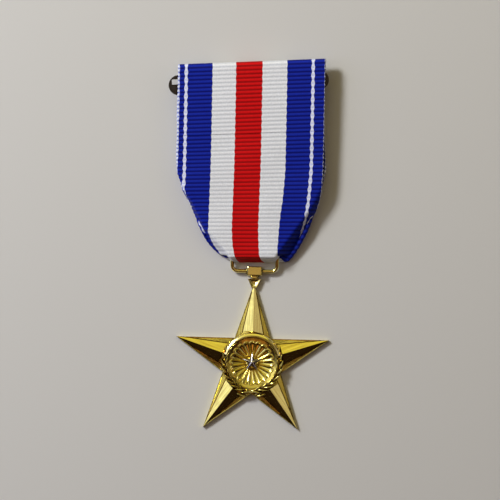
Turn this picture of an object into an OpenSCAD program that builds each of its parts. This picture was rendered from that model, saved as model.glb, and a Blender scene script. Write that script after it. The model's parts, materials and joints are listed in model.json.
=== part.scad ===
// Military service medal, lying on its back.
// A faceted five-pointed star hangs by a wire loop from a folded ribbon on a pin brooch.
// X runs along the brooch, Y from the star up to the brooch, Z out of the medal's face.
// The origin is on the surface that the medal lies on, under the bar's middle line and halfway along Y.

/* [Brooch] */
// Length of the brooch bar, end to end
brooch_len = 38; // [38:0.5:40]
// Width of the brooch bar
brooch_w = 4.8; // [4.8:0.1:5.2]
// Thickness of the brooch bar
brooch_thk = 0.8; // [0.7:0.05:0.8]
// Height of the bar's back face over the surface
brooch_z = 3.4; // [3.4:0.1:3.6]
// Width of the slot that the ribbon passes through
slot_w = 1.2; // [1.1:0.05:1.3]
// Width of the rail above the slot
upper_rail_w = 1; // [0.8:0.1:1.1]

/* [Pin] */
// Diameter of the needle
needle_d = 0.9; // [0.7:0.05:0.9]
// Length of the needle from its hinge to its point
needle_len = 31.6; // [31.4:0.1:32]
// Length of the needle's straight shaft, before it tapers
shaft_len = 27.2; // [26:0.1:27.6]
// Distance of the hinge from the middle of the bar
hinge_x = 15; // [14.6:0.1:15.2]
// Distance of the catch from the middle of the bar
catch_x = 14.5; // [14.2:0.1:14.8]
// Height of the needle's middle line over the surface
needle_z = 1.8; // [1.8:0.05:1.85]

/* [Ribbon] */
// Width of the ribbon as woven
ribbon_w = 34.9; // [34:0.1:35]
// Thickness of the ribbon
ribbon_thk = 0.45; // [0.35:0.05:0.45]
// Height of the top fold over the middle of the bar
ribbon_top = 5; // [4.8:0.1:5.4]
// Sideways shift of the ribbon on the bar
ribbon_shift = 0.5; // [0:0.1:0.6]
// Lean of the ribbon away from square to the bar
ribbon_lean = 3; // [0:0.5:4]
// Width of the ribbon where it is gathered above the loop
gather_w = 17.6; // [14:0.2:20]

/* [Suspension loop] */
// Distance from the middle of the bar down to the loop's lower run
loop_drop = 44.7; // [44.2:0.1:46]
// Sideways shift of the loop
loop_shift = -0.35; // [-0.5:0.05:0.5]
// Loop width between the middles of its side runs
loop_w = 10.6; // [10:0.1:10.8]
// Loop height between the middles of its upper and lower runs
loop_h = 5; // [5:0.1:5.4]
// Diameter of the loop's wire
wire_d = 0.9; // [0.8:0.05:0.9]
// Turn of the loop in the medal's plane
loop_turn = -3.6; // [-4:0.1:-2]
// Tilt that lifts the loop's upper run off the surface
loop_tilt = 14; // [10:1:16]

/* [Star] */
// Radius of the circle through the star's five points
star_r = 19; // [18:0.1:19.2]
// Distance from the loop's lower run to the middle of the star
star_drop = 21.8; // [21.7:0.05:22.4]
// Turn of the star in the medal's plane
star_turn = -3.8; // [-5:0.1:-2]
// Thickness of the star at its edge
star_edge = 0.95; // [0.8:0.05:1.1]
// Height of the ridges where they meet the wreath
ridge_h = 2.75; // [2.4:0.05:3]
// Outer radius of the wreath
wreath_r = 7.25; // [7:0.05:7.5]
// Radius of the rayed disc inside the wreath
disc_r = 5.7; // [5.4:0.05:5.8]
// Number of rays on the disc
ray_count = 20; // [12:1:24]
// Radius of the small star in the middle
small_star_r = 2.4; // [2:0.1:2.6]

/* [Hidden] */
$fn = 48;

// Running gap between metal parts that turn in each other
gap = 0.05;
// Extra length that lets a cut pass right through
over = 1;

// Brooch rails
slot_half = brooch_len / 2 - 0.8;
rail_top = brooch_w / 2 - upper_rail_w;
rail_low = rail_top - slot_w;
pin_y = (rail_low - brooch_w / 2) / 2;
bracket_w = rail_low + brooch_w / 2 - 0.2;
bracket_base = 0.3;
brooch_front = brooch_z + brooch_thk;

// Hinge: an eye between two ears, on a rivet
ear_thk = 0.5;
ear_r = 2;
ear_half = 1.35;
eye_thk = 1.3;
eye_r = 1.1;
rivet_d = 0.9;
rivet_head_r = 0.8;
rivet_head_h = 0.25;
root_len = 2.05;
root_d = 1.2;
point_len = 1.6;
taper_d = 0.7;

// Catch: a slotted roller between two cheeks
cheek_thk = 0.5;
cheek_half = 1.6;
roller_len = 2.1;
roller_r = 1.25;
journal_r = 0.8;
mouth_w = 1.1;
roller_ear_r = 1.8;
roller_ear_turn = -30;
roller_ear_w = 0.7;

// Ribbon layers on the brooch
layer_gap = 0.05;
front_z = 5.2;
under_z = brooch_front + layer_gap;
back_z = brooch_z - layer_gap - ribbon_thk;
fold_r = (front_z - back_z) / 2;
fold_y = ribbon_top - fold_r;
head_end = -2.72;
bend_r = (front_z - under_z) / 2;
bend_z = (front_z + under_z) / 2;
bend_y = head_end - bend_r - 0.1;
straight_end = -21;
slot_pass_y = rail_low + (slot_w - ribbon_thk) / 2;

// Suspension loop and star places
loop_z = 1.1;
loop_at = [loop_shift, -loop_drop, loop_z];
top_run = loop_at + [
    -loop_h * cos(loop_tilt) * sin(loop_turn),
    loop_h * cos(loop_tilt) * cos(loop_turn),
    loop_h * sin(loop_tilt)];
corner_r = 1.3;
star_at = [loop_shift + star_drop * sin(star_turn), -loop_drop - star_drop * cos(star_turn), 0];

// Ribbon at the loop
drape_end = top_run[1] + wire_d / 2 + 0.6;
drape_low = 0.25;
drape_high = 4.35;
throat_half = 4.2;
throat_r = (drape_high - drape_low) / 2;
throat_drop = 0.95;
tunnel_r = 0.75;
hollow_start = -9;
hollow_end = -33;
outline_steps = 10;
seam_y = -7;
stitch_count = 14;
stitch_pitch = 2.3;
stitch_len = 1.5;
stitch_r = 0.12;

// Hanger block and neck
block = [3.9, 2.2, 2.2];
bore_r = wire_d / 2 + gap;
tongue = [1.9, 0.75, 1.1];
solder_gap = 0.01;
neck_w = 3.1;
neck_tip_w = 1.2;
neck_thk = 1.2;
neck_groove = 0.35;
neck_groove_w = 0.9;
neck_groove_rim = 0.45;
neck_groove_end = 0.7;
neck_top = star_drop - block[1] / 2 - tongue[1];
neck_end = star_r - 1.2;

// Star
inner_ratio = 0.382;
rim_share = 0.8;
rim_h = 1.45;
disc_h = 2.25;
ray_h = 2.6;
ray_len = 4.9;
boss_r = 1.5;
wreath_h = 3.05;
small_star_edge = 0.25;
small_star_h = 1.05;
leaf_count = 9;
leaf_len = 2.3;
leaf_w = 1.05;
wreath_mid = (wreath_r + disc_r) / 2;

// Middle of the whole medal, from the top fold to the star's lowest point
lowest_tip = star_at[1] - star_r * cos(36 + star_turn);
mid_y = (ribbon_top + lowest_tip) / 2;

silver = [0.75, 0.76, 0.78];
gold = [0.83, 0.66, 0.22];
ribbon_blue = [0.12, 0.17, 0.55];
thread_white = [0.86, 0.87, 0.9];

// Puts the middle of the medal's box over the origin
module centred() {
    translate([0, -mid_y, 0]) children();
}

module stadium(length, width) {
    end_x = (length - width) / 2;
    square([2 * end_x, width], center = true);
    for (side = [-1, 1]) {
        translate([side * end_x, 0]) circle(d = width);
    }
}

// Stands a profile drawn in Y and Z upright and gives it a length along X
module along_x(length) {
    rotate([90, 0, 90]) linear_extrude(length, center = true) children();
}

// Stands a profile drawn in X and Z upright and gives it a length along Y
module along_y(length) {
    rotate([90, 0, 0]) linear_extrude(length, center = true) children();
}

// Stamped bar with one slot between its two rails
module brooch_frame() color(silver) centred() {
    translate([0, 0, brooch_z]) linear_extrude(brooch_thk) difference() {
        stadium(brooch_len, brooch_w);
        translate([-slot_half, rail_low]) square([2 * slot_half, slot_w]);
    }
}

module ear_profile() {
    difference() {
        intersection() {
            circle(r = ear_r);
            translate([-ear_half, -needle_z]) square([2 * ear_half, brooch_z]);
        }
        circle(d = rivet_d);
    }
}

// Two ears on a base plate, which hold the rivet
module hinge_bracket() color(silver) centred() translate([-hinge_x, pin_y, 0]) {
    for (side = [-1, 1]) {
        translate([0, side * (eye_thk / 2 + gap + ear_thk / 2), needle_z]) along_y(ear_thk) ear_profile();
    }
    translate([-ear_half, -bracket_w / 2, brooch_z - bracket_base])
        cube([2 * ear_half, bracket_w, bracket_base]);
}

module hinge_rivet() color(silver) centred() translate([-hinge_x, pin_y, needle_z]) rotate([90, 0, 0]) {
    ears = eye_thk + 2 * gap + 2 * ear_thk;
    cylinder(h = ears, d = rivet_d, center = true);
    for (side = [0, 1]) {
        mirror([0, 0, side]) translate([0, 0, ears / 2]) cylinder(h = rivet_head_h, r = rivet_head_r);
    }
}

module pin_needle() color(silver) centred() translate([-hinge_x, pin_y, needle_z]) {
    difference() {
        union() {
            rotate([90, 0, 0]) cylinder(h = eye_thk, r = eye_r, center = true);
            rotate([0, 90, 0]) cylinder(h = root_len, d1 = root_d, d2 = needle_d);
        }
        rotate([90, 0, 0]) cylinder(h = eye_thk + over, d = rivet_d + 2 * gap, center = true);
    }
    translate([root_len, 0, 0]) rotate([0, 90, 0]) cylinder(h = shaft_len - root_len, d = needle_d);
    translate([shaft_len, 0, 0]) rotate([0, 90, 0])
        cylinder(h = needle_len - point_len - shaft_len, d1 = needle_d, d2 = taper_d);
    translate([needle_len - point_len, 0, 0]) rotate([0, 90, 0])
        cylinder(h = point_len, d1 = taper_d, d2 = taper_d / 6);
}

module mouth(reach) {
    circle(d = mouth_w);
    translate([-mouth_w / 2, -reach]) square([mouth_w, reach]);
}

module cheek_profile() {
    difference() {
        intersection() {
            circle(r = ear_r);
            translate([-cheek_half, -needle_z]) square([2 * cheek_half, brooch_z]);
        }
        circle(r = journal_r + gap);
        mouth(ear_r + over);
    }
}

// Two cheeks with an open mouth, on a base plate
module catch_bracket() color(silver) centred() translate([catch_x, pin_y, 0]) {
    for (side = [-1, 1]) {
        translate([side * (roller_len / 2 + gap + cheek_thk / 2), 0, needle_z])
            along_x(cheek_thk) cheek_profile();
    }
    base_len = roller_len + 2 * (gap + cheek_thk);
    translate([-base_len / 2, -bracket_w / 2, brooch_z - bracket_base])
        cube([base_len, bracket_w, bracket_base]);
}

// Slotted roller; its ear turns it a quarter turn to lock the needle in
module catch_roller() color(silver) centred() translate([catch_x, pin_y, needle_z]) {
    difference() {
        union() {
            along_x(roller_len) circle(r = roller_r);
            along_x(roller_len + 2 * (gap + cheek_thk)) circle(r = journal_r);
            along_x(roller_ear_w) rotate(roller_ear_turn) translate([0, -roller_ear_w / 2])
                intersection() {
                    square([roller_ear_r, roller_ear_w]);
                    translate([0, roller_ear_w / 2]) circle(r = roller_ear_r);
                }
        }
        along_x(roller_len + 2 * over) mouth(roller_r + over);
    }
}

// 1 on the straight ribbon, falling smoothly to 0 at the loop
function spread(y) = y > straight_end ? 1
    : let (t = (straight_end - y) / (straight_end - drape_end)) 1 - t * t * (3 - 2 * t) * 0.35 - t * 0.65;
function ribbon_mid(y) = ribbon_shift + max(y, straight_end) * tan(ribbon_lean)
    - (1 - spread(y)) * (ribbon_shift + straight_end * tan(ribbon_lean)) * 0.6;
function ribbon_half(y) = gather_w / 2 + (ribbon_w - gather_w) / 2 * spread(y);

// The ribbon's outline seen from above
module ribbon_plan() {
    ys = concat([ribbon_top + over],
        [for (i = [0 : outline_steps]) straight_end + (drape_end - straight_end) * i / outline_steps]);
    polygon(concat(
        [for (y = ys) [ribbon_mid(y) - ribbon_half(y), y]],
        [for (i = [len(ys) - 1 : -1 : 0]) [ribbon_mid(ys[i]) + ribbon_half(ys[i]), ys[i]]]));
}

module ribbon_cut() {
    intersection() {
        linear_extrude(front_z + over) ribbon_plan();
        along_x(2 * ribbon_w) children();
    }
}

// Folded over the upper rail, back through the slot and down in front of the lower rail
module head_profile() {
    translate([head_end, front_z - ribbon_thk]) square([fold_y - head_end, ribbon_thk]);
    translate([fold_y, (front_z + back_z) / 2]) difference() {
        circle(r = fold_r);
        circle(r = fold_r - ribbon_thk);
        translate([-2 * fold_r, -fold_r - over]) square([2 * fold_r, 2 * (fold_r + over)]);
    }
    translate([slot_pass_y, back_z]) square([fold_y - slot_pass_y, ribbon_thk]);
    translate([slot_pass_y, back_z]) square([ribbon_thk, under_z + ribbon_thk - back_z]);
    translate([head_end, under_z]) square([slot_pass_y + ribbon_thk - head_end, ribbon_thk]);
}

module ribbon_head() color(ribbon_blue) centred() ribbon_cut() head_profile();

// Height of the front and back faces of the hanging ribbon at a given Y
function drape_t(y) = (bend_y - y) / (bend_y - drape_end);
function drape_front(y) = front_z + (drape_high - front_z) * drape_t(y);
function drape_back(y) = under_z + (drape_low - under_z) * drape_t(y);

module drape_profile() {
    translate([bend_y, bend_z]) circle(r = bend_r);
    difference() {
        polygon([
            [bend_y, front_z], [bend_y, under_z],
            [drape_end, drape_low], [drape_end, drape_high]]);
        polygon([
            [hollow_start, drape_front(hollow_start) - ribbon_thk],
            [hollow_start, drape_back(hollow_start) + ribbon_thk],
            [hollow_end, drape_back(hollow_end) + ribbon_thk],
            [hollow_end, drape_front(hollow_end) - ribbon_thk]]);
    }
}

// The bunch that passes through the loop and folds round its upper run
module throat() {
    translate([top_run[0], top_run[1], 0]) rotate([0, 0, loop_turn]) along_x(2 * throat_half) {
        translate([-throat_drop, drape_low + throat_r]) circle(r = throat_r);
        translate([-throat_drop, drape_low])
            square([drape_end - top_run[1] + throat_drop + 1, 2 * throat_r]);
    }
}

module ribbon_drape() color(ribbon_blue) centred() difference() {
    union() {
        ribbon_cut() drape_profile();
        throat();
    }
    translate(top_run) rotate([0, 90, loop_turn])
        cylinder(h = 2 * (throat_half + over), r = tunnel_r, center = true);
}

// Row of thread on the back, where the ribbon's two ends are sewn together
module ribbon_stitches() color(thread_white) centred() {
    for (i = [0 : stitch_count - 1]) {
        x = ribbon_mid(seam_y) + (i - (stitch_count - 1) / 2) * stitch_pitch;
        translate([x, seam_y, drape_back(seam_y) - stitch_r - 0.01]) rotate([0, 90, 0])
            cylinder(h = stitch_len, r = stitch_r, center = true);
    }
}

// Things hung from the loop are drawn round the middle of its lower run
module at_loop() {
    centred() translate(loop_at) rotate([0, 0, loop_turn]) children();
}

module wire_run(length) {
    rotate([0, 90, 0]) cylinder(h = length, d = wire_d, center = true);
}

module suspension_loop() color(gold) at_loop() rotate([loop_tilt, 0, 0]) {
    run_x = loop_w - 2 * corner_r;
    run_y = loop_h - 2 * corner_r;
    for (y = [0, loop_h]) {
        translate([0, y, 0]) wire_run(run_x);
    }
    for (side = [-1, 1]) {
        translate([side * loop_w / 2, loop_h / 2, 0]) rotate([0, 0, 90]) wire_run(run_y);
    }
    for (turn = [0 : 90 : 270]) {
        x = (turn == 0 || turn == 270 ? 1 : -1) * run_x / 2;
        y = loop_h / 2 + (turn < 180 ? 1 : -1) * run_y / 2;
        translate([x, y, 0]) rotate([0, 0, turn])
            rotate_extrude(angle = 90) translate([corner_r, 0]) circle(d = wire_d);
    }
}

// Barrel round the loop's lower run, with a tongue that is soldered to the neck
module hanger_block() color(gold) at_loop() {
    difference() {
        translate([-block[0] / 2, -block[1] / 2, -loop_z]) cube(block);
        rotate([0, 90, 0]) cylinder(h = block[0] + over, r = bore_r, center = true);
    }
    translate([-tongue[0] / 2, -block[1] / 2 - tongue[1] + solder_gap, -loop_z]) cube(tongue);
}

module at_star() {
    centred() translate(star_at) rotate([0, 0, star_turn]) children();
}

// Outline points of a star, at a radius and a height
function star_ring(r, z) = [for (i = [0 : 9])
    let (reach = i % 2 == 0 ? r : r * inner_ratio, a = 90 + 36 * i) [reach * cos(a), reach * sin(a), z]];

// Five-pointed star with an upright edge, a steep rim and ridged facets up to one apex
module faceted_star(r, edge, rim_r, rim_z, apex) {
    corners = concat(star_ring(r, 0), star_ring(r, edge), star_ring(rim_r, rim_z), [[0, 0, apex], [0, 0, 0]]);
    polyhedron(corners, [for (i = [0 : 9]) let (next = (i + 1) % 10) each [
        [31, i, next],
        [i, 10 + i, 10 + next, next],
        [10 + i, 20 + i, 20 + next, 10 + next],
        [20 + i, 30, 20 + next]]]);
}

module leaf() {
    linear_extrude(wreath_h - rim_h) intersection_for(side = [-1, 1]) {
        leaf_r = (leaf_len * leaf_len + leaf_w * leaf_w) / (4 * leaf_w);
        translate([0, side * (leaf_r - leaf_w / 2)]) circle(r = leaf_r);
    }
}

// Two laurel branches that rise from the bottom and meet at the top
module wreath() {
    translate([0, 0, star_edge]) linear_extrude(wreath_h - star_edge - 0.35) difference() {
        circle(r = wreath_r - 0.3);
        circle(r = disc_r);
    }
    for (side = [0, 1], i = [0 : leaf_count - 1]) {
        mirror([side, 0, 0]) rotate(-82 + i * 162 / (leaf_count - 1)) translate([wreath_mid, 0, rim_h])
            rotate(72) leaf();
    }
}

module rayed_disc() {
    cylinder(h = disc_h, r = disc_r + 0.1);
    cylinder(h = ray_h, r = boss_r);
    for (i = [0 : ray_count - 1]) {
        rotate(90 + i * 360 / ray_count) translate([0, -0.18, disc_h / 2])
            cube([ray_len, 0.36, ray_h - disc_h / 2]);
    }
}

// Tapered lug between the star's top point and the hanger, with a sunk triangle in its face
module neck() {
    difference() {
        linear_extrude(neck_thk) polygon([
            [-neck_w / 2, neck_top], [-neck_tip_w / 2, neck_end],
            [neck_tip_w / 2, neck_end], [neck_w / 2, neck_top]]);
        translate([0, 0, neck_thk - neck_groove]) linear_extrude(over) polygon([
            [-neck_groove_w, neck_top - neck_groove_rim], [0, neck_end + neck_groove_end],
            [neck_groove_w, neck_top - neck_groove_rim]]);
    }
}

// Struck star with its wreath, rayed disc and neck
module star_planchet() color(gold) at_star() {
    difference() {
        faceted_star(star_r, star_edge, star_r * rim_share, rim_h, ridge_h + 0.9);
        translate([0, 0, star_edge]) cylinder(h = ridge_h + over, r = disc_r + 0.6);
    }
    rayed_disc();
    wreath();
    neck();
}

module centre_star() color(silver) at_star() translate([0, 0, ray_h]) {
    faceted_star(small_star_r, small_star_edge / 2, small_star_r * 0.94, small_star_edge, small_star_h);
}

brooch_frame();
hinge_bracket();
hinge_rivet();
pin_needle();
catch_bracket();
catch_roller();
ribbon_head();
ribbon_drape();
ribbon_stitches();
suspension_loop();
hanger_block();
star_planchet();
centre_star();
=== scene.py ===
import json
import math

import bpy
import numpy as np
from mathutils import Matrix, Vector


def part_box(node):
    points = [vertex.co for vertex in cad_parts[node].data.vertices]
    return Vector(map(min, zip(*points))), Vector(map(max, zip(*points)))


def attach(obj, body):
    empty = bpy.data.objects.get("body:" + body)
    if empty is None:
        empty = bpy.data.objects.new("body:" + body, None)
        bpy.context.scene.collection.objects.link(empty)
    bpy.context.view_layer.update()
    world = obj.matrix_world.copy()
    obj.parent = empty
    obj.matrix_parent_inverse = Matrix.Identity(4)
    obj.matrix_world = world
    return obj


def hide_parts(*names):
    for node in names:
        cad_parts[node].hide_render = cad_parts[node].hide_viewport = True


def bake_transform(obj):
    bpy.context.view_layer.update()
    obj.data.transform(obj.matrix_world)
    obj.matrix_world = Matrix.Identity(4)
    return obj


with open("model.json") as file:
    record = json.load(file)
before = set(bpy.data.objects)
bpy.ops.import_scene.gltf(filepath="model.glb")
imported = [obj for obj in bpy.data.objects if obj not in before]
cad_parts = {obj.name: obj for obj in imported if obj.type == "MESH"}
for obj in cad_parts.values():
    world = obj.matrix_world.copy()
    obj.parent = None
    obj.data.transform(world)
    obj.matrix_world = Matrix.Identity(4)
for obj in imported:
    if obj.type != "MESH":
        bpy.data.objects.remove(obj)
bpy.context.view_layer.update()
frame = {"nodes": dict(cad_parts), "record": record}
print("frame loaded")

mm = 0.001
broochLow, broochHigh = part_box("brooch_frame")
broochY = (broochLow.y + broochHigh.y) / 2  # the brooch's middle line; Y is counted from it below


def toLinear(hexColour):
    # sRGB hex to linear
    parts = [int(hexColour[i:i + 2], 16) / 255 for i in (1, 3, 5)]
    return [c / 12.92 if c <= 0.04045 else ((c + 0.055) / 1.055) ** 2.4 for c in parts] + [1.0]


def addNode(tree, kind, settings, inputs):
    node = tree.nodes.new("ShaderNode" + kind)
    for key, value in settings.items():
        setattr(node, key, value)
    for key, value in inputs.items():
        if isinstance(value, bpy.types.NodeSocket):
            tree.links.new(value, node.inputs[key])
        else:
            node.inputs[key].default_value = value
    return node


def newMaterial(name):
    material = bpy.data.materials.new(name)
    material.use_nodes = True
    material.node_tree.nodes.clear()
    return material, material.node_tree


def finishMaterial(tree, shader):
    addNode(tree, "OutputMaterial", {}, {"Surface": shader.outputs["BSDF"]})


def toRow(point):
    return (point[0] * mm, point[1] * mm + broochY, point[2] * mm)


def makeMesh(name, points, faces, material, smooth=True):
    mesh = bpy.data.meshes.new(name)
    mesh.from_pydata([toRow(p) for p in points], [], faces)
    mesh.materials.append(material)
    mesh.polygons.foreach_set("use_smooth", [smooth] * len(mesh.polygons))
    piece = bpy.data.objects.new(name, mesh)
    bpy.context.scene.collection.objects.link(piece)
    return piece


def gridFaces(rows, columns, closed=False):
    faces = []
    for i in range(rows - 1):
        for j in range(columns if closed else columns - 1):
            k = (j + 1) % columns
            faces.append((i * columns + j, i * columns + k, (i + 1) * columns + k, (i + 1) * columns + j))
    return faces


def addWeld(piece, reach):
    weld = piece.modifiers.new("Weld", "WELD")
    weld.merge_threshold = reach * mm


def addBevel(piece, width, segments=2, angle=30):
    addWeld(piece, 0.002)
    bevel = piece.modifiers.new("Bevel", "BEVEL")
    bevel.width = width * mm
    bevel.segments = segments
    bevel.limit_method = "ANGLE"
    bevel.angle_limit = math.radians(angle)
    bevel.harden_normals = False


def smoothStep(t):
    # 0 to 1 with a soft start and end
    t = np.clip(t, 0, 1)
    return t * t * (3 - 2 * t)


finish = {
    "grain": 1.2,  # sizes in mm
    "fineGrain": 0.12,
    "leastRough": 0.75,  # shares of a metal's roughness
    "mostRough": 1.4,
}


# the second colour is painted shade that darkens corners and hollows
def polishedMetal(name, colour, hollowShadeColour, roughness, dents=0.02, hollowShadeReach=0.5, streaks=None):
    material, tree = newMaterial(name)
    place = addNode(tree, "TexCoord", {}, {})
    # slow unevenness of a struck and buffed surface, and fine grain over it
    waves = addNode(tree, "TexNoise", {}, {
        "Vector": place.outputs["Object"], "Scale": 1 / (finish["grain"] * mm), "Detail": 3})
    fine = addNode(tree, "TexNoise", {}, {
        "Vector": place.outputs["Object"], "Scale": 1 / (finish["fineGrain"] * mm), "Detail": 2})
    rough = addNode(tree, "MapRange", {}, {
        "Value": waves.outputs["Fac"], "From Min": 0.3, "From Max": 0.7,
        "To Min": roughness * finish["leastRough"], "To Max": roughness * finish["mostRough"]})
    height = addNode(tree, "Math", {"operation": "MULTIPLY_ADD"},
                     {0: fine.outputs["Fac"], 1: 0.12, 2: waves.outputs["Fac"]})
    bump = addNode(tree, "Bump", {}, {
        "Height": height.outputs[0], "Strength": 1.0, "Distance": dents * mm})
    # painted shade: the colour darkens towards a dark shade colour where the surface is closed in, in
    # corners and hollows
    shade = addNode(tree, "AmbientOcclusion", {"samples": 6}, {"Distance": hollowShadeReach * mm})
    corner = addNode(tree, "MapRange", {}, {
        "Value": shade.outputs["AO"], "From Min": 0.35, "From Max": 0.9})
    tint = addNode(tree, "Mix", {"data_type": "RGBA"},
                   {0: corner.outputs["Result"], "A": toLinear(hollowShadeColour), "B": toLinear(colour)})
    normal, colourOut = bump.outputs["Normal"], tint.outputs["Result"]
    if streaks:
        # fine lines of the die that run along each ray, from the UV map in mm
        uv = addNode(tree, "UVMap", {"uv_map": "rays"}, {})
        stretched = addNode(tree, "Mapping", {}, {
            "Vector": uv.outputs["UV"], "Scale": (1 / streaks["across"], 1 / streaks["along"], 1)})
        lines = addNode(tree, "TexNoise", {}, {
            "Vector": stretched.outputs["Vector"], "Scale": 1, "Detail": 3})
        grooves = addNode(tree, "Bump", {}, {
            "Height": lines.outputs["Fac"], "Strength": 1.0,
            "Distance": streaks["depth"] * mm, "Normal": normal})
        share = addNode(tree, "MapRange", {}, {
            "Value": lines.outputs["Fac"], "From Min": 0.35, "From Max": 0.65,
            "To Min": streaks["stain"], "To Max": 0.0})
        stained = addNode(tree, "Mix", {"data_type": "RGBA"},
                          {0: share.outputs["Result"], "A": colourOut, "B": toLinear(streaks["colour"])})
        normal, colourOut = grooves.outputs["Normal"], stained.outputs["Result"]
    shader = addNode(tree, "BsdfPrincipled", {}, {
        "Base Color": colourOut, "Metallic": 1.0, "Roughness": rough.outputs["Result"], "Normal": normal})
    finishMaterial(tree, shader)
    return material


dieLines = {"across": 0.22, "along": 7.0, "depth": 0.016, "stain": 0.5, "colour": "#b08c28"}  # sizes in mm
# pale yellow where it catches the window, brown-black where it doesn't, with lines along the rays and
# brown painted shade in its corners
gilt = polishedMetal("gilt brass, struck and buffed", "#f7eb86", "#7a4312", 0.15,
                     dents=0.012, streaks=dieLines)
# the same gilding over small relief, with brown painted shade in its hollows
giltRelief = polishedMetal("gilt brass, struck relief", "#f6e680", "#8a4514", 0.17,
                           dents=0.008, hollowShadeReach=0.4)
# between the leaves the painted shade is darker and reaches further, so that each leaf stands out
giltLeaves = polishedMetal("gilt brass, leaf work", "#f6e680", "#5a2e10", 0.17,
                           dents=0.006, hollowShadeReach=0.8)
# smooth wire and block edges with a thin bright line along them, and brown painted shade in their corners
giltWire = polishedMetal("gilt brass wire", "#f5e898", "#8a5420", 0.16, dents=0.008)
# nearly white along its ridges and dark between them, with grey-blue painted shade in its hollows
silverMetal = polishedMetal("silver, polished", "#f0eadc", "#4a4c55", 0.16, dents=0.004, hollowShadeReach=0.3)
# dark grey with a soft shine, for what the ribbon hides, with near-black painted shade in its corners
nickel = polishedMetal("nickel plate, darkened", "#4b4846", "#0e0b0a", 0.3)
# lighter grey, with a duller shine and dark painted shade in its corners
steel = polishedMetal("steel wire, drawn", "#b5b5b8", "#3a3836", 0.25)
print("metals made")

cloth = {
    "width": 34.9,  # sizes in mm
    "rib": 0.95,  # from one weft rib to the next
    "bead": 0.09,  # how far the thin stripes swell at every second rib
    "step": 0.05,  # how far the wide bands' edges step sideways
    "lineMiddle": 15.05,  # the thin stripes' place and half width
    "lineShift": 0.45,
    "lineHalf": 0.35,
    "warp": 0.22,  # yarns across a rib, drawn about twice as coarse as they are so that they show
    "fibre": 0.25,
    "scallop": 0.07,  # how far the edges swell at each rib
}
# each yarn's colour on a rib's crest, and a darker copy as painted shade for the groove beside it
yarns = {
    "blue": ("#1027a4", "#00086c"),
    "red": ("#d80a0e", "#980002"),
    "white": ("#f0f3f8", "#d3d8df"),
    "line": ("#e9eeff", "#cfd8ff"),
    "selvedge": ("#dfe6fb", "#8794dc"),
}
# each band's left edge, in mm from the middle of the cloth
bands = [(-17.45, "selvedge"), (-17.1, "blue"), (-9.4, "white"), (-3.7, "red"), (2.52, "white"),
         (8.4, "blue"), (17.2, "selvedge")]


def bandRamp(tree, across, shade):
    ramp = addNode(tree, "ValToRGB", {}, {0: across})
    ramp.color_ramp.interpolation = "CONSTANT"
    elements = ramp.color_ramp.elements
    elements.remove(elements[1])
    for number, (edge, yarn) in enumerate(bands):
        spot = elements[0] if number == 0 else elements.new(edge / cloth["width"] + 0.5)
        spot.color = toLinear(yarns[yarn][shade])
    return ramp.outputs["Color"]
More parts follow.
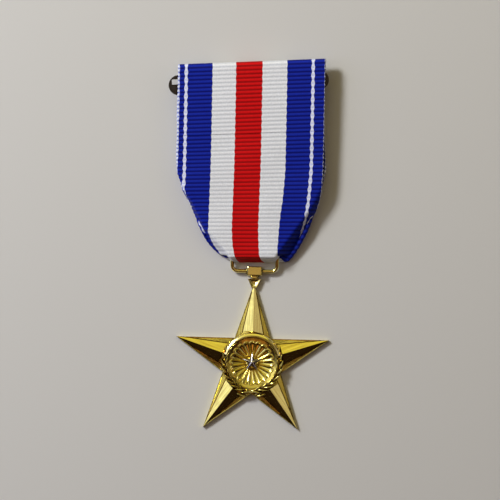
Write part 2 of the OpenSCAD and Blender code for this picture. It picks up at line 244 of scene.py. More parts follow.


# woven rayon: matt, with painted shade darkening the groove at every rib
def ribbonCloth():
    material, tree = newMaterial("ribbed ribbon cloth")
    where = addNode(tree, "UVMap", {"uv_map": "cloth"}, {})
    parts = addNode(tree, "SeparateXYZ", {}, {0: where.outputs["UV"]})
    across = parts.outputs["X"]  # 0 to 1 over the width
    along = parts.outputs["Y"]  # in mm
    # every second rib pushes the bands' edges aside and makes the thin stripes swell
    turn = addNode(tree, "Math", {"operation": "MULTIPLY"}, {0: along, 1: math.pi / cloth["rib"]})
    beat = addNode(tree, "Math", {"operation": "SINE"}, {0: turn.outputs[0]})
    shift = addNode(tree, "Math", {"operation": "MULTIPLY_ADD"},
                    {0: beat.outputs[0], 1: cloth["step"] / cloth["width"], 2: across})
    offMiddle = addNode(tree, "Math", {"operation": "MULTIPLY_ADD"},
                        {0: across, 1: cloth["width"], 2: cloth["lineShift"] - cloth["width"] / 2})
    offBoth = addNode(tree, "Math", {"operation": "ABSOLUTE"}, {0: offMiddle.outputs[0]})
    fromLine = addNode(tree, "Math", {"operation": "SUBTRACT"},
                       {0: offBoth.outputs[0], 1: cloth["lineMiddle"]})
    distance = addNode(tree, "Math", {"operation": "ABSOLUTE"}, {0: fromLine.outputs[0]})
    swell = addNode(tree, "Math", {"operation": "MULTIPLY_ADD"},
                    {0: beat.outputs[0], 1: cloth["bead"], 2: cloth["lineHalf"]})
    onLine = addNode(tree, "Math", {"operation": "LESS_THAN"},
                     {0: distance.outputs[0], 1: swell.outputs[0]})
    # ribs: the crest colour, with painted shade in the groove
    crestTurn = addNode(tree, "Math", {"operation": "MULTIPLY"}, {0: along, 1: 2 * math.pi / cloth["rib"]})
    crest = addNode(tree, "Math", {"operation": "COSINE"}, {0: crestTurn.outputs[0]})
    grooveShade = addNode(tree, "MapRange", {"interpolation_type": "SMOOTHSTEP"}, {
        "Value": crest.outputs[0], "From Min": -0.9, "From Max": 0.5})
    tints = []
    for shade in (1, 0):
        bandColour = bandRamp(tree, shift.outputs[0], shade)
        tints.append(addNode(tree, "Mix", {"data_type": "RGBA"}, {
            0: onLine.outputs[0], "A": bandColour, "B": toLinear(yarns["line"][shade])}).outputs["Result"])
    ribTint = addNode(tree, "Mix", {"data_type": "RGBA"},
                      {0: grooveShade.outputs["Result"], "A": tints[0], "B": tints[1]})
    # fine warp yarns across each rib, and loose fibres
    yarnTurn = addNode(tree, "Math", {"operation": "MULTIPLY"},
                       {0: across, 1: 2 * math.pi * cloth["width"] / cloth["warp"]})
    yarn = addNode(tree, "Math", {"operation": "SINE"}, {0: yarnTurn.outputs[0]})
    place = addNode(tree, "TexCoord", {}, {})
    fibre = addNode(tree, "TexNoise", {}, {
        "Vector": place.outputs["Object"], "Scale": 1 / (cloth["fibre"] * mm), "Detail": 3})
    worn = addNode(tree, "MapRange", {}, {
        "Value": fibre.outputs["Fac"], "From Min": 0.25, "From Max": 0.75, "To Min": 0.86, "To Max": 1.12})
    tone = addNode(tree, "HueSaturation", {}, {
        "Color": ribTint.outputs["Result"], "Value": worn.outputs["Result"]})
    height = addNode(tree, "Math", {"operation": "MULTIPLY_ADD"},
                     {0: yarn.outputs[0], 1: 0.5, 2: fibre.outputs["Fac"]})
    bump = addNode(tree, "Bump", {}, {"Height": height.outputs[0], "Strength": 0.5, "Distance": 0.02 * mm})
    shader = addNode(tree, "BsdfPrincipled", {}, {
        "Base Color": tone.outputs["Color"], "Roughness": 0.65, "Specular IOR Level": 0.12,
        "Sheen Weight": 0.03, "Sheen Roughness": 0.4, "Normal": bump.outputs["Normal"]})
    finishMaterial(tree, shader)
    return material


thread = {"twist": 0.9, "grooveShade": "#8f97ab", "crest": "#d5dae6"}  # length of a turn in mm


# pale grey-blue polyester, matt, with slanting turns whose grooves are darkened with painted shade
def sewingThread():
    material, tree = newMaterial("twisted sewing thread")
    place = addNode(tree, "TexCoord", {}, {})
    twist = addNode(tree, "TexWave", {"bands_direction": "DIAGONAL"},
                    {"Vector": place.outputs["Object"], "Scale": 1 / (thread["twist"] * mm)})
    # painted shade: the darker colour fills the grooves between the turns
    tint = addNode(tree, "Mix", {"data_type": "RGBA"}, {
        0: twist.outputs["Fac"], "A": toLinear(thread["grooveShade"]), "B": toLinear(thread["crest"])})
    bump = addNode(tree, "Bump", {}, {"Height": twist.outputs["Fac"], "Distance": 0.03 * mm})
    shader = addNode(tree, "BsdfPrincipled", {}, {
        "Base Color": tint.outputs["Result"], "Roughness": 0.7, "Normal": bump.outputs["Normal"]})
    finishMaterial(tree, shader)
    return material


ribbonMaterial = ribbonCloth()
threadMaterial = sewingThread()
print("cloth made")


ribbon = {
    "thickness": 0.45,
    "grooveShare": 0.7,  # thickness in a groove between two ribs, as a share of a rib's
    "foldY": 3.85,  # middle of the fold over the brooch's upper rail
    "foldRadius": 0.925,
    "frontZ": 4.975,  # the cloth's middle in front of the brooch, under that layer, and behind the brooch
    "underZ": 4.475,
    "behindZ": 3.125,
    "slotY": 0.8,  # where the cloth goes through the brooch
    "slotCorner": 0.35,
    "pivotY": -3.3,  # where the cloth bends below the brooch
    "lowY": -38.6,  # where the curl round the loop starts
    "bottomBend": [(-41.25, 4.09), (-42.5, 1.6), (-42.15, 0.72), (-41.3, 0.475)],
    "curlZ": 2.3,
    "curlRadius": 1.825,
    "seamY": -7.0,
    "cutY": -12.0,
    "rowsPerRib": 5,
    "columns": 161,
    "leftTurn": 0.26,  # inside radius of the turned-under edges
    "rightTurn": 0.44,
    "lowTurn": -2.2,  # how far the rows are turned at the loop, in degrees
    "turnFrom": -8,  # where that turn starts, and over how many mm it grows
    "turnOver": 30,
    "wave": 0.10,  # how far the cloth waves below the brooch
    "waveFrom": -5,
    "waveOver": 12,
    "pathBlur": 1.2,  # in rows, so that the path's corners and the sections' changes are soft
    "sectionBlur": 3,
    "bendLength": 0.9,  # most and least length of the soft bend where a side starts to slope
    "leastBend": 0.3,
    "upperBend": [(0, -2.5, 4.7), (0, -6.9, 4.7)],  # two points of three numbers each
    "lowerBend": [(0, -30, 2.3), (0, -39.6, 2.3)],
}


def arc(centreY, centreZ, radius, fromAngle, toAngle, count=24):
    angles = np.radians(np.linspace(fromAngle, toAngle, count))
    return [(centreY + radius * math.cos(a), centreZ + radius * math.sin(a)) for a in angles]


def ringPath():
    r = ribbon
    lowZ = r["curlZ"] - r["curlRadius"]
    backSeamZ = lowZ + (r["underZ"] - lowZ) * (r["seamY"] - r["lowY"]) / (r["pivotY"] - r["lowY"])
    corner = r["slotCorner"]
    points = [(r["seamY"], backSeamZ), (r["pivotY"], r["underZ"])]
    points += arc(r["slotY"] - corner, r["underZ"] - corner, corner, 90, 0, 8)
    points += arc(r["slotY"] + corner, r["behindZ"] + corner, corner, 180, 270, 8)
    points += arc(r["foldY"], r["frontZ"] - r["foldRadius"], r["foldRadius"], -90, 90)
    points += [(r["pivotY"], r["frontZ"]), (r["lowY"], r["curlZ"] + r["curlRadius"])]
    points += r["bottomBend"]
    points += [(r["lowY"], lowZ), (r["seamY"], backSeamZ)]
    return np.array(points)


def resample(points, spacing):
    lengths = np.r_[0, np.cumsum(np.hypot(*np.diff(points, axis=0).T))]
    count = int(round(lengths[-1] / spacing))
    at = np.linspace(0, lengths[-1], count + 1)
    return np.c_[np.interp(at, lengths, points[:, 0]), np.interp(at, lengths, points[:, 1])], at


def smoothed(values, width):
    reach = int(3 * width)
    kernel = np.exp(-0.5 * (np.arange(-reach, reach + 1) / width) ** 2)
    padded = np.pad(values, reach, mode="edge")
    return np.convolve(padded, kernel / kernel.sum(), mode="valid")


path, pathAt = resample(ringPath(), cloth["rib"] / ribbon["rowsPerRib"])
path = np.c_[smoothed(path[:, 0], ribbon["pathBlur"]), smoothed(path[:, 1], ribbon["pathBlur"])]
tangent = np.gradient(path, axis=0)
tangent /= np.hypot(*tangent.T)[:, None]
inward = np.c_[-tangent[:, 1], tangent[:, 0]]
top = int(np.argmax(path[:, 0]))
bottom = int(np.argmin(path[:, 0]))
rowNumber = np.arange(len(path))
onFront = (rowNumber > top) & (rowNumber <= bottom)
# place along the ring: y on the front, and 90 below y's mirror image on the back
backOffset = 90
place = np.where(onFront, path[:, 0], -backOffset - path[:, 0])

# place, middle x, shares by which the right and the left white band are gathered, how far the right side
# hangs lower, then for the left and the right: flat half width, length of the slope, slope angle
stations = np.array([
    (8.0, 1.05, 0.0, 0.0, 0.0, 17.30, 0.0, 0, 17.30, 0.0, 0),
    (0.0, 0.65, 0.0, 0.0, 0.0, 17.40, 0.0, 0, 17.40, 0.0, 0),
    (-13.0, -0.10, 0.0, 0.0, 0.0, 17.35, 0.0, 0, 17.45, 0.0, 0),
    (-21.0, -0.60, 0.0, 0.0, 0.0, 16.80, 0.1, 30, 17.45, 0.0, 0),
    (-25.2, -0.95, 0.03, 0.0, 0.0, 14.90, 0.5, 55, 17.20, 0.3, 30),
    (-28.0, -1.15, 0.06, 0.0, 0.0, 13.10, 2.1, 70, 16.20, 1.2, 40),
    (-31.0, -1.40, 0.12, 0.0, 0.0, 11.60, 2.9, 72, 14.80, 2.3, 46),
    (-34.5, -1.68, 0.16, 0.0, 0.0, 9.75, 2.8, 66, 12.50, 3.2, 46),
    (-38.0, -1.72, 0.22, 0.02, 0.0, 7.10, 3.4, 55, 10.20, 4.6, 44),
    (-40.4, -1.72, 0.27, 0.25, 0.0, 5.60, 4.4, 52, 8.50, 5.0, 40),
    (-41.2, -1.60, 0.27, 0.35, 0.0, 5.60, 3.8, 48, 7.60, 3.6, 38),
    (-41.9, -1.20, 0.27, 0.35, 0.0, 5.30, 2.2, 42, 6.60, 1.9, 34),
    (-42.3, -0.70, 0.20, 0.2, 0.0, 4.90, 0.6, 30, 5.60, 0.8, 30),
    (-47.4, -0.10, 0.10, 0.3, 0.2, 6.00, 0.4, 30, 5.40, 0.4, 30),
    (-48.6, 0.00, 0.15, 0.4, 1.4, 9.00, 0.4, 30, 7.20, 0.4, 30),
    (-50.0, 0.10, 0.15, 0.4, 2.0, 11.30, 0.4, 30, 8.40, 0.4, 30),
    (-52.0, 0.30, 0.10, 0.3, 1.7, 12.50, 0.6, 45, 9.60, 0.6, 45),
    (-55.2, 0.60, 0.0, 0.1, 0.6, 12.80, 2.0, 66, 11.20, 1.0, 60),
    (-57.0, 0.70, 0.0, 0.0, 0.0, 13.50, 1.2, 66, 12.20, 1.0, 60),
    (-59.0, 0.50, 0.0, 0.0, 0.0, 13.60, 0.6, 50, 13.00, 0.8, 50),
    (-65.0, 0.05, 0.0, 0.0, 0.0, 16.40, 0.2, 30, 15.60, 0.4, 30),
    (-71.0, 0.00, 0.0, 0.0, 0.0, 17.45, 0.0, 0, 17.45, 0.0, 0),
    (-83.0, 0.10, 0.0, 0.0, 0.0, 17.40, 0.0, 0, 17.40, 0.0, 0),
    (-95.0, 1.05, 0.0, 0.0, 0.0, 17.30, 0.0, 0, 17.30, 0.0, 0),
])
droopFrom, droopTo = 3.5, 8.0  # where across the cloth the right side starts and ends to hang lower
gathered = (2.5, 8.5)  # the white bands, in mm from the middle
halfWidth = cloth["width"] / 2
blur = ribbon["sectionBlur"]
shape = [smoothed(np.interp(-place, -stations[:, 0], stations[:, k]), blur) for k in range(1, 11)]
midX, gather, leftGather, droop, leftFlat, leftSlope, leftAngle, rightFlat, rightSlope, rightAngle = shape
lowShare = smoothStep((ribbon["turnFrom"] - path[:, 0]) / ribbon["turnOver"])
rowTurn = np.radians(ribbon["lowTurn"]) * lowShare
wave = ribbon["wave"] * smoothStep((ribbon["waveFrom"] - path[:, 0]) / ribbon["waveOver"])


def halfSection(reach, flat, slope, angle, turnRadius, otherFlat):
    # one side of a row, from the middle: flat, then sloping, then turned under and back
    edge = flat + slope
    q = np.linspace(0, edge, 400)
    soft = min(ribbon["bendLength"], ribbon["leastBend"] + slope / 2)
    bend = np.radians(angle) * smoothStep((q - flat + soft / 2) / soft)
    dq = q[1] - q[0]
    across = np.r_[0, np.cumsum(np.cos(bend[1:]) * dq)]
    depth = np.r_[0, np.cumsum(np.sin(bend[1:]) * dq)]
    turnLength = math.pi * turnRadius
    hem = max(halfWidth - edge - turnLength, 0.01)
    squeeze = min(1.0, (edge + 0.85 * otherFlat) / hem)  # so that the hem ends short of the other side
    x, d = np.empty_like(reach), np.empty_like(reach)
    front = reach <= edge
    x[front] = np.interp(reach[front], q, across)
    d[front] = np.interp(reach[front], q, depth)
    turning = (reach > edge) & (reach <= edge + turnLength)
    beta = (reach[turning] - edge) / turnRadius
    c, s = math.cos(bend[-1]), math.sin(bend[-1])
    x[turning] = across[-1] - turnRadius * s * (1 - np.cos(beta)) + turnRadius * np.sin(beta) * c
    d[turning] = depth[-1] + turnRadius * c * (1 - np.cos(beta)) + turnRadius * np.sin(beta) * s
    under = reach > edge + turnLength
    back = edge - (reach[under] - edge - turnLength) * squeeze
    local = np.interp(back, q, bend)
    x[under] = np.where(back > 0, np.interp(back, q, across), back) - 2 * turnRadius * np.sin(local)
    d[under] = np.interp(back, q, depth) + 2 * turnRadius * np.cos(local)
    return x, d


def ribbonRows():
    u = np.linspace(-halfWidth, halfWidth, ribbon["columns"])
    points = np.empty((len(path), len(u), 3))
    for i in range(len(path)):
        scallop = cloth["scallop"] * math.cos(2 * math.pi * pathAt[i] / cloth["rib"])
        reach = np.abs(u)
        x, d = np.empty_like(u), np.empty_like(u)
        left, right = u < 0, u >= 0
        x[left], d[left] = halfSection(reach[left], leftFlat[i], leftSlope[i], leftAngle[i],
                                       ribbon["leftTurn"], rightFlat[i])
        x[left] *= -1
        x[right], d[right] = halfSection(reach[right], rightFlat[i], rightSlope[i], rightAngle[i],
                                         ribbon["rightTurn"], leftFlat[i])
        x -= gather[i] * (np.clip(x, *gathered) - gathered[0])
        x += leftGather[i] * (np.clip(-x, *gathered) - gathered[0])
        x[0] += np.sign(x[0] - x[1]) * scallop
        x[-1] += np.sign(x[-1] - x[-2]) * scallop
        d = d + wave[i] * np.sin(u / 2.9 + pathAt[i] / 5.1) * np.cos(pathAt[i] / 3.7 - u / 7)
        c, s = math.cos(rowTurn[i]), math.sin(rowTurn[i])
        lower = droop[i] * smoothStep((x - droopFrom) / (droopTo - droopFrom))
        points[i, :, 0] = midX[i] + x * c
        points[i, :, 1] = path[i, 0] + d * inward[i, 0] + x * s - lower
        points[i, :, 2] = path[i, 1] + d * inward[i, 1]
    return points


def ribbonPiece(name, points, first, last):
    chosen = points[first:last + 1]
    rows, columns = chosen.shape[:2]
    piece = makeMesh(name, chosen.reshape(-1, 3), gridFaces(rows, columns), ribbonMaterial)
    layer = piece.data.uv_layers.new(name="cloth")
    index = np.empty(len(piece.data.loops), np.int32)
    piece.data.loops.foreach_get("vertex_index", index)
    uv = np.c_[(index % columns) / (columns - 1), pathAt[first + index // columns]]
    layer.data.foreach_set("uv", uv.astype(np.float32).ravel())
    group = piece.vertex_groups.new(name="ribs")
    for row in range(rows):
        weight = 0.5 + 0.5 * math.cos(2 * math.pi * pathAt[first + row] / cloth["rib"])
        group.add(list(range(row * columns, (row + 1) * columns)), weight, "REPLACE")
    solid = piece.modifiers.new("Solidify", "SOLIDIFY")
    solid.thickness = ribbon["thickness"] * mm
    solid.offset = 0
    solid.vertex_group = "ribs"
    solid.thickness_vertex_group = ribbon["grooveShare"]
    solid.use_even_offset = False
    return piece


ringPoints = ribbonRows()
cutRow = top + int(np.argmin(np.abs(path[top:bottom, 0] - ribbon["cutY"])))
cutRow = int(round((round(pathAt[cutRow] / cloth["rib"] - 0.5) + 0.5) * ribbon["rowsPerRib"]))
upperRibbon = ribbonPiece("ribbon_over_brooch", ringPoints, 0, cutRow)
lowerRibbon = ribbonPiece("ribbon_hanging", ringPoints, cutRow, len(path) - 1)
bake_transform(upperRibbon)
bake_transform(lowerRibbon)
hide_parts("ribbon_head")
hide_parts("ribbon_drape")


stitch = {
    "count": 14,
    "pitch": 2.3,
    "length": 1.5,
    "radius": 0.13,
    "x": 0.2,  # middle of the seam
    "y": -7.0,
    "z": 3.80,
    "dip": 0.22,  # how far the ends go into the cloth
    "slant": 0.05,
}


def tube(points, radius, sides=8):
    points = [Vector(p) for p in points]
    verts = []
    for i, p in enumerate(points):
        along = (points[min(i + 1, len(points) - 1)] - points[max(i - 1, 0)]).normalized()
        side = along.cross(Vector((0, 0, 1))).normalized()
        up = side.cross(along)
        for k in range(sides):
            a = 2 * math.pi * k / sides
            verts.append(p + side * (radius * math.cos(a)) + up * (radius * math.sin(a)))
    faces = gridFaces(len(points), sides, closed=True)
    faces.append(tuple(range(sides)))
    faces.append(tuple(reversed(range((len(points) - 1) * sides, len(points) * sides))))
    return verts, faces


def joined(parts):
    verts, faces = [], []
    for more, its in parts:
        faces += [tuple(k + len(verts) for k in f) for f in its]
        verts += more
    return verts, faces


def stitches():
    parts = []
    for k in range(stitch["count"]):
        middle = (k - (stitch["count"] - 1) / 2) * stitch["pitch"] + stitch["x"]
        line = []
        for t in np.linspace(-1, 1, 9):
            line.append((middle + t * stitch["length"] / 2, stitch["y"] + stitch["slant"] * t,
                         stitch["z"] + stitch["dip"] * t ** 4))
        parts.append(tube(line, stitch["radius"]))
    return joined(parts)


seam = makeMesh("ribbon_seam_thread", *stitches(), threadMaterial)
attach(seam, "ribbon")
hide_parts("ribbon_stitches")


mounts = {mount["name"]: mount for mount in frame["record"]["mounts"]}
starPlace = mounts["planchet_back"]["pos_m"]
star = {
    "x": starPlace[0] / mm,
    "y": (starPlace[1] - broochY) / mm,
    "turn": -3.8,
    "tip": 19.0,
    "rootY": 5.87,  # where a ray's sides meet its neighbours'
    "edgeZ": 0.95,
    "ridgeRise": 1.72,  # ridge above the edge at the root
    "facetShare": 0.62,  # main facet's share of the half width
    "facetDrop": 0.68,  # and its share of the rise
    "line": 0.2,  # width and depth of the line between the main facet and the outer strip
    "lineDepth": 0.10,
    "rim": 0.30,
    "rimRise": 0.12,
    "stripTilt": 0.12,
    "plinth": 0.12,  # how far the facets' foot is above the edge
    "growth": 6,  # how soon, from the tip, the rim and the plinth have their full height
    "wreathY": 7.0,  # the wreath covers the rays from here inward, and they stay below this height
    "underWreath": 2.1,
    "plateRadius": 7.2,  # plate under the wreath and the disc
    "plateZ": 0.9,
    "steps": 30,
}


def placed(points):
    c, s = math.cos(math.radians(star["turn"])), math.sin(math.radians(star["turn"]))
    return [(star["x"] + x * c - y * s, star["y"] + x * s + y * c, z) for x, y, z in points]


def polar(radius, degrees, z):
    a = math.radians(degrees)
    return (radius * math.cos(a), radius * math.sin(a), z)


def raySection(share):
    # heights across half a ray: ridge, main facet, sunk line, outer strip and rounded rim
    half = (star["tip"] - star["rootY"]) * math.tan(math.radians(18)) * share
    grown = min(1, share * star["growth"])
    base = star["edgeZ"] + star["plinth"] * grown
    rise = star["ridgeRise"] * share
    rim = min(star["rim"], half * 0.3)
    line = min(star["line"], half * 0.12)
    facet = half * star["facetShare"]
    facetZ = base + rise * (1 - star["facetDrop"])
    rimZ = star["edgeZ"] + star["rimRise"] * grown
    stripIn, stripOut = facet + line, half - rim
    stripZ = min(facetZ, rimZ - 0.03 + star["stripTilt"] * (stripOut - stripIn))
    lineZ = min(facetZ, stripZ) - star["lineDepth"] * grown
    rimShape = [(1, -0.05), (0.75, 0), (0.4, 0.02), (0.12, -0.04)]  # share of the rim's width, height
    section = [(0, base + rise), (facet, facetZ), (facet + line / 2, lineZ), (stripIn, stripZ)]
    section += [(half - rim * inset, rimZ + z * grown) for inset, z in rimShape]
    return section + [(half, star["edgeZ"])]


def starBody():
    verts, faces, uvs = [], [], []
    steps = star["steps"]
    for k in range(5):
        turn = math.radians(72 * k)
        c, s = math.cos(turn), math.sin(turn)
        for side in (1, -1):
            start = len(verts)
            for i in range(steps + 2):
                share = min(1, (i / (steps - 1)) ** 1.3 + 0.004)
                section = raySection(share)
                y = star["tip"] - (star["tip"] - star["rootY"]) * share
                if i >= steps:  # the root's end under the disc
                    y -= 0.25 * (i - steps + 1)
                    section = [(x, min(z, 1.2)) for x, z in section]
                # the ridge sinks under the wreath
                if y < star["wreathY"]:
                    section = [(x, min(z, star["underWreath"])) for x, z in section]
                for x, z in section:
                    verts.append((side * x * c - y * s, side * x * s + y * c, z))
                    uvs.append((side * x + 40 * k, y))
            for face in gridFaces(steps + 2, len(section)):
                faces.append(tuple(start + n for n in (face if side > 0 else reversed(face))))
    inner = star["tip"] * math.sin(math.radians(18)) / math.sin(math.radians(126))
    outline = [polar(inner if k % 2 else star["tip"], 90 + 36 * k, 0) for k in range(10)]
    first = len(verts)
    verts += outline + [(x, y, star["edgeZ"]) for x, y, z in outline] + [(0, 0, 0), (0, 0, 1.1)]
    for k in range(10):
        j = (k + 1) % 10
        faces.append((first + k, first + j, first + 10 + j, first + 10 + k))
        faces.append((first + j, first + k, first + 20))
    plate = len(verts)
    verts += [polar(star["plateRadius"], 10 * k, star["plateZ"]) for k in range(36)]
    faces += [(plate + k, plate + (k + 1) % 36, first + 21) for k in range(36)]
    uvs += [(x, y) for x, y, z in verts[first:]]
    body = makeMesh("star_body", placed(verts), faces, gilt, smooth=False)
    layer = body.data.uv_layers.new(name="rays")
    for loop in body.data.loops:
        layer.data[loop.index].uv = uvs[loop.vertex_index]
    addWeld(body, 0.003)
    return body


wreath = {
    "pitch": 13.0,  # degrees from one leaf to the next
    "leafHeight": 0.5,
    "leafClimb": 0.2,  # how much higher a leaf's point is, for each mm along it
    "stemLength": 2.6,
    "stemWidth": 0.5,
    "stemHeight": 0.5,
    "stemZ": 1.5,
    # the ring under the leaves and the smooth band at the top, each as radius and height
    "base": [(5.7, 1.0), (5.75, 2.05), (6.1, 2.3), (6.7, 2.25), (7.0, 1.9), (7.1, 0.9)],
    "band": [(6.2, 1.5), (6.22, 2.72), (6.35, 2.8), (7.0, 2.5), (7.12, 2.3), (7.15, 0.9)],
    "bandFrom": 16,
    "bandTo": 164,
}
# radius, lean out of the branch in degrees, length, width, height of the foot, number, first leaf's angle
laurelRows = [
    (6.8, 22, 3.0, 0.52, 2.2, 10, 8),
    (6.15, -16, 2.8, 0.42, 2.25, 10, 14),
]
# x, y and heading of the stem ends that cross and flare at the bottom
stemEnds = [(1.9, -7.0, 62), (2.5, -7.55, 74), (1.2, -6.6, 96)]
# across a leaf, as shares of its half width and of its height; its sides go down into the ring
leafSection = [(-1, -1.6), (-1, 0), (-0.7, 0.7), (-0.2, 1), (0.2, 1), (0.7, 0.7), (1, 0), (1, -1.6)]


def leafShape(length, width, height, steps=9):
    # a slim leaf that points along +Y
    verts = []
    for i in range(steps):
        t = i / (steps - 1)
        half = width / 2 * math.sin(math.pi * min(1, 0.06 + 0.94 * t) ** 0.8) + 0.015
        rise = height * (0.3 + 0.7 * math.sin(math.pi * t) ** 0.7)
        verts += [(across * half, (t - 0.5) * length, rise * share) for across, share in leafSection]
    return verts, gridFaces(steps, len(leafSection))


def turnedLeaf(at, heading, climb, shape):
    c, s = math.cos(math.radians(heading)), math.sin(math.radians(heading))
    x0, y0, z0 = at
    verts, faces = shape
    turned = [(x0 + x * c - y * s, y0 + x * s + y * c, z0 + z + climb * y) for x, y, z in verts]
    return turned, faces


def laurel(side):
    parts = []
    for radius, lean, length, width, footZ, count, start in laurelRows:
        leaf = leafShape(length, width, wreath["leafHeight"])
        for k in range(count):
            angle = -90 + side * (start + k * wreath["pitch"])
            # the leaf's point looks up along the branch and leans out of it
            heading = angle + side * (90 - lean) - 90
            parts.append(turnedLeaf(polar(radius, angle, footZ), heading, wreath["leafClimb"], leaf))
    stem = leafShape(wreath["stemLength"], wreath["stemWidth"], wreath["stemHeight"])
    for x, y, heading in stemEnds:
        parts.append(turnedLeaf((side * x, y, wreath["stemZ"]), -side * heading, 0, stem))
    verts, faces = joined(parts)
    return makeMesh("laurel_left" if side < 0 else "laurel_right", placed(verts), faces, giltLeaves)


def band(name, profile, fromAngle, toAngle, material, steps=96):
    count = len(profile)
    angles = [fromAngle + (toAngle - fromAngle) * i / steps for i in range(steps + 1)]
    verts = [polar(r, angle, z) for angle in angles for r, z in profile]
    faces = [tuple(reversed(f)) for f in gridFaces(steps + 1, count)]
    if toAngle - fromAngle < 360:
        faces += [tuple(range(count)), tuple(reversed(range(steps * count, (steps + 1) * count)))]
    piece = makeMesh(name, placed(verts), faces, material)
    addBevel(piece, 0.07)
    return piece


disc = {
    "start": 1.2,  # the disc's inner radius, under the boss
    "edge": 5.95,
    "middleZ": 1.3,
    "edgeZ": 2.35,
    "bowl": 1.5,  # 1 would be a cone, and more is flatter in the middle
    "petals": 20,
    "petalEnd": 4.4,  # where their round ends start
    "wall": 0.15,
    "wallHeight": 0.12,
    "hollow": 0.12,
    "turns": 720,
    "rings": 44,
    "boss": [(1.5, 1.0), (1.5, 2.3), (1.38, 2.5), (1.1, 2.58), (0.0001, 2.6)],  # radius and height
    "bossSides": 48,
}


def discHeight(r, degrees):
    # a dish of hollow petals side by side, with thin walls between them and round ends
    pitch = 360 / disc["petals"]
    offset = (degrees + pitch / 2) % pitch - pitch / 2
    x = r * math.sin(math.radians(offset))
    half = 0.5 * min(r, disc["petalEnd"]) * math.radians(pitch)
    away = abs(x) if r < disc["petalEnd"] else math.hypot(r - disc["petalEnd"], x)
    bowl = disc["middleZ"] + (disc["edgeZ"] - disc["middleZ"]) * (r / disc["edge"]) ** disc["bowl"]
    wall = disc["wallHeight"] * math.exp(-((away - half) / disc["wall"]) ** 2)
    inside = disc["hollow"] * max(0, 1 - (away / half) ** 2)
    return bowl + wall - inside


def rayedDisc():
    start, turns, rings = disc["start"], disc["turns"], disc["rings"]
    radii = [start + (disc["edge"] - start) * i / (rings - 1) for i in range(rings)]
    angles = [360 * k / turns for k in range(turns)]
    verts = [polar(r, angle, discHeight(r, angle)) for r in radii for angle in angles]
    return makeMesh("rayed_disc", placed(verts), gridFaces(rings, turns, closed=True), giltRelief)


def boss():
    outline, sides = disc["boss"], disc["bossSides"]
    verts = [polar(r, 360 * k / sides, z) for r, z in outline for k in range(sides)]
    return makeMesh("disc_boss", placed(verts), gridFaces(len(outline), sides, closed=True), giltRelief)


smallStar = {
    "tip": 2.4,  # radii of the points and of the notches between them
    "notch": 0.95,
    "foot": 2.5,  # heights
    "edge": 2.7,
    "top": 3.4,
    "above": 0.2,  # how far above the disc's middle it is soldered
    "ridge": 0.09,
}


def silverStar():
    verts = []
    radii = [smallStar["tip"], smallStar["notch"]] * 5
    for z in (smallStar["foot"], smallStar["edge"]):
        verts += [polar(r, 90 + 36 * k, z) for k, r in enumerate(radii)]
    verts += [(0, 0, smallStar["top"]), (0, 0, smallStar["foot"])]
    verts = [(x, y + smallStar["above"], z) for x, y, z in verts]
    faces = []
    for k in range(10):
        j = (k + 1) % 10
        faces += [(k, j, 10 + j, 10 + k), (10 + k, 10 + j, 20), (j, k, 21)]
    piece = makeMesh("silver_star", placed(verts), faces, silverMetal)
    addBevel(piece, smallStar["ridge"], segments=4, angle=15)
    return piece


neck = {
    "top": 19.95,  # distances from the star's middle
    "end": 17.8,
    "topWidth": 3.1,
    "endWidth": 1.2,
    "thickness": 1.3,
    "rim": 0.5,  # width of the sloping rim along the top, and how much wider it is along the sides
    "sideRim": 1.5,
    "slope": 0.32,
    "sink": 0.5,  # depth of the hollow's floor
    "hollowEnd": 0.75,
    "hollowTip": 0.08,
    "floorShare": 0.8,
}


def neckPiece():
    wide, narrow = neck["topWidth"] / 2, neck["endWidth"] / 2
    high, low = neck["thickness"], neck["thickness"] - neck["sink"]
    insideX, insideTop = wide - neck["rim"] * neck["sideRim"], neck["top"] - neck["rim"]
    tip, insideEnd = neck["hollowTip"], neck["end"] + neck["hollowEnd"]
    outline = [(-wide, neck["top"]), (wide, neck["top"]), (narrow, neck["end"]), (-narrow, neck["end"])]
    inside = [(-insideX, insideTop), (insideX, insideTop), (tip, insideEnd), (-tip, insideEnd)]
    floor = [(x * neck["floorShare"], y) for x, y in inside]
    rings = ((outline, 0), (outline, high), (inside, high - neck["slope"]), (floor, low))
    verts = [(x, y, z) for ring, z in rings for x, y in ring]
    faces = gridFaces(len(rings), 4, closed=True) + [(3, 2, 1, 0), (12, 13, 14, 15)]
    piece = makeMesh("star_neck", placed(verts), [tuple(reversed(f)) for f in faces], giltWire)
    addBevel(piece, 0.06)
    return piece


starPieces = [starBody(), rayedDisc(), boss(), neckPiece(), laurel(-1), laurel(1)]
starPieces.append(band("wreath_base", wreath["base"], 0, 360, giltLeaves, 120))
starPieces.append(band("wreath_band", wreath["band"], wreath["bandFrom"], wreath["bandTo"], giltWire))
for piece in starPieces:
    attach(piece, "pendant")
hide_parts("star_planchet")
smallPiece = silverStar()
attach(smallPiece, "pendant")
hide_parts("centre_star")
print("star made")


# what each part is made of, and how far its edges are rounded
finishes = {
    "brooch_frame": (nickel, 0.22),
    "hinge_bracket": (nickel, 0.06),
    "hinge_rivet": (steel, 0.05),
    "pin_needle": (steel, 0.03),
    "catch_bracket": (nickel, 0.06),
    "catch_roller": (nickel, 0.05),
    "suspension_loop": (giltWire, 0.0),
    "hanger_block": (giltWire, 0.36),
}
for name, (material, width) in finishes.items():
    node = frame["nodes"][name]
    node.data.materials.clear()
    node.data.materials.append(material)
    if width:
        addBevel(node, width, segments=3)
print("finishes given")


studio = {
    "board": "#d2d2cf",
    "grain": 0.6,
    "reach": 1.5,  # half the board's side, in metres
    "roll": -2.2,  # how far the camera is turned, in degrees
    "middle": (-1.23, -39.67, 500),  # where it is and how much it sees, in mm from the brooch
    "span": 118.48,
    "dark": "#30211c",  # what the metal mirrors between the lamps
    "darkStrength": 0.6,
}
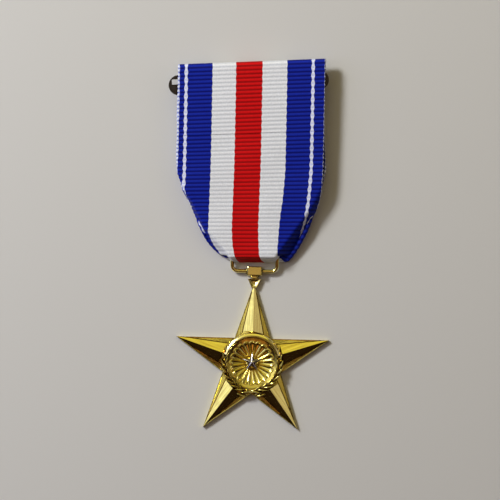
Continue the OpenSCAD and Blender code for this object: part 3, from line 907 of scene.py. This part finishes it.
# name, azimuth and angle from straight up in degrees, distance and size in metres, radiance, colour;
# azimuth 0 is the brooch's right end and 90 the side of the fold over the brooch
panels = [
    ("window", 162, 52, 0.55, (0.40, 0.40), 1.35, "#dcdeff"),
    ("top softbox", 84, 52, 0.6, (0.56, 0.3), 0.8, "#fff08e"),
    ("right softbox", 4, 52, 0.55, (0.26, 0.26), 0.6, "#fff2ff"),
    ("right fill", 36, 50, 0.6, (0.16, 0.2), 0.36, "#ffecc8"),
    ("low warm", 262, 25, 0.74, (0.36, 0.1), 0.55, "#ffb070"),
    ("high left", 150, 24, 0.7, (0.26, 0.24), 0.85, "#fff8e8"),
    ("high top", 84, 22, 0.72, (0.3, 0.2), 0.6, "#fff0a8"),
    ("high right", 10, 20, 0.74, (0.2, 0.2), 0.35, "#ffe8b0"),
    ("overhead", 290, 6, 0.78, (0.3, 0.3), 0.42, "#ffd9a4"),
    ("key lamp", 136, 48, 0.7, (0.14, 0.14), 56, "#ffffff"),
]


# sanded board with flat white paint: no shine, and a fine grain
def paintedBoard():
    material, tree = newMaterial("painted board, matt")
    place = addNode(tree, "TexCoord", {}, {})
    grain = addNode(tree, "TexNoise", {}, {
        "Vector": place.outputs["Object"], "Scale": 1 / (studio["grain"] * mm), "Detail": 4})
    bump = addNode(tree, "Bump", {}, {
        "Height": grain.outputs["Fac"], "Strength": 0.3, "Distance": 0.02 * mm})
    shader = addNode(tree, "BsdfPrincipled", {}, {
        "Base Color": toLinear(studio["board"]), "Roughness": 0.8, "Normal": bump.outputs["Normal"]})
    finishMaterial(tree, shader)
    return material


def addFloor():
    half = studio["reach"]
    mesh = bpy.data.meshes.new("floor")
    corners = [(-half, -half, 0), (half, -half, 0), (half, half, 0), (-half, half, 0)]
    mesh.from_pydata(corners, [], [(0, 1, 2, 3)])
    mesh.materials.append(paintedBoard())
    floor = bpy.data.objects.new("floor", mesh)
    bpy.context.scene.collection.objects.link(floor)


def addPanel(name, azimuth, fromZenith, distance, size, radiance, colour):
    a, z = math.radians(azimuth), math.radians(fromZenith)
    lamp = bpy.data.lights.new(name, "AREA")
    lamp.shape = "RECTANGLE"
    lamp.size, lamp.size_y = size
    lamp.energy = math.pi * size[0] * size[1] * radiance
    lamp.color = toLinear(colour)[:3]
    holder = bpy.data.objects.new(name, lamp)
    at = Vector((math.sin(z) * math.cos(a), math.sin(z) * math.sin(a), math.cos(z))) * distance
    holder.location = at
    holder.rotation_euler = (-at).to_track_quat("-Z", "Y").to_euler()
    bpy.context.scene.collection.objects.link(holder)


addFloor()
for panel in panels:
    addPanel(*panel)

world = bpy.data.worlds.new("studio")
world.use_nodes = True
background = world.node_tree.nodes["Background"]
background.inputs["Color"].default_value = toLinear(studio["dark"])
background.inputs["Strength"].default_value = studio["darkStrength"]
bpy.context.scene.world = world

camera = bpy.data.cameras.new("camera")
camera.type = "ORTHO"
camera.ortho_scale = studio["span"] * mm
cameraObject = bpy.data.objects.new("camera", camera)
cameraObject.location = toRow(studio["middle"])
cameraObject.rotation_euler = (0, 0, math.radians(studio["roll"]))
bpy.context.scene.collection.objects.link(cameraObject)
bpy.context.scene.camera = cameraObject
bpy.context.scene.view_settings.view_transform = "Standard"
print("studio made")
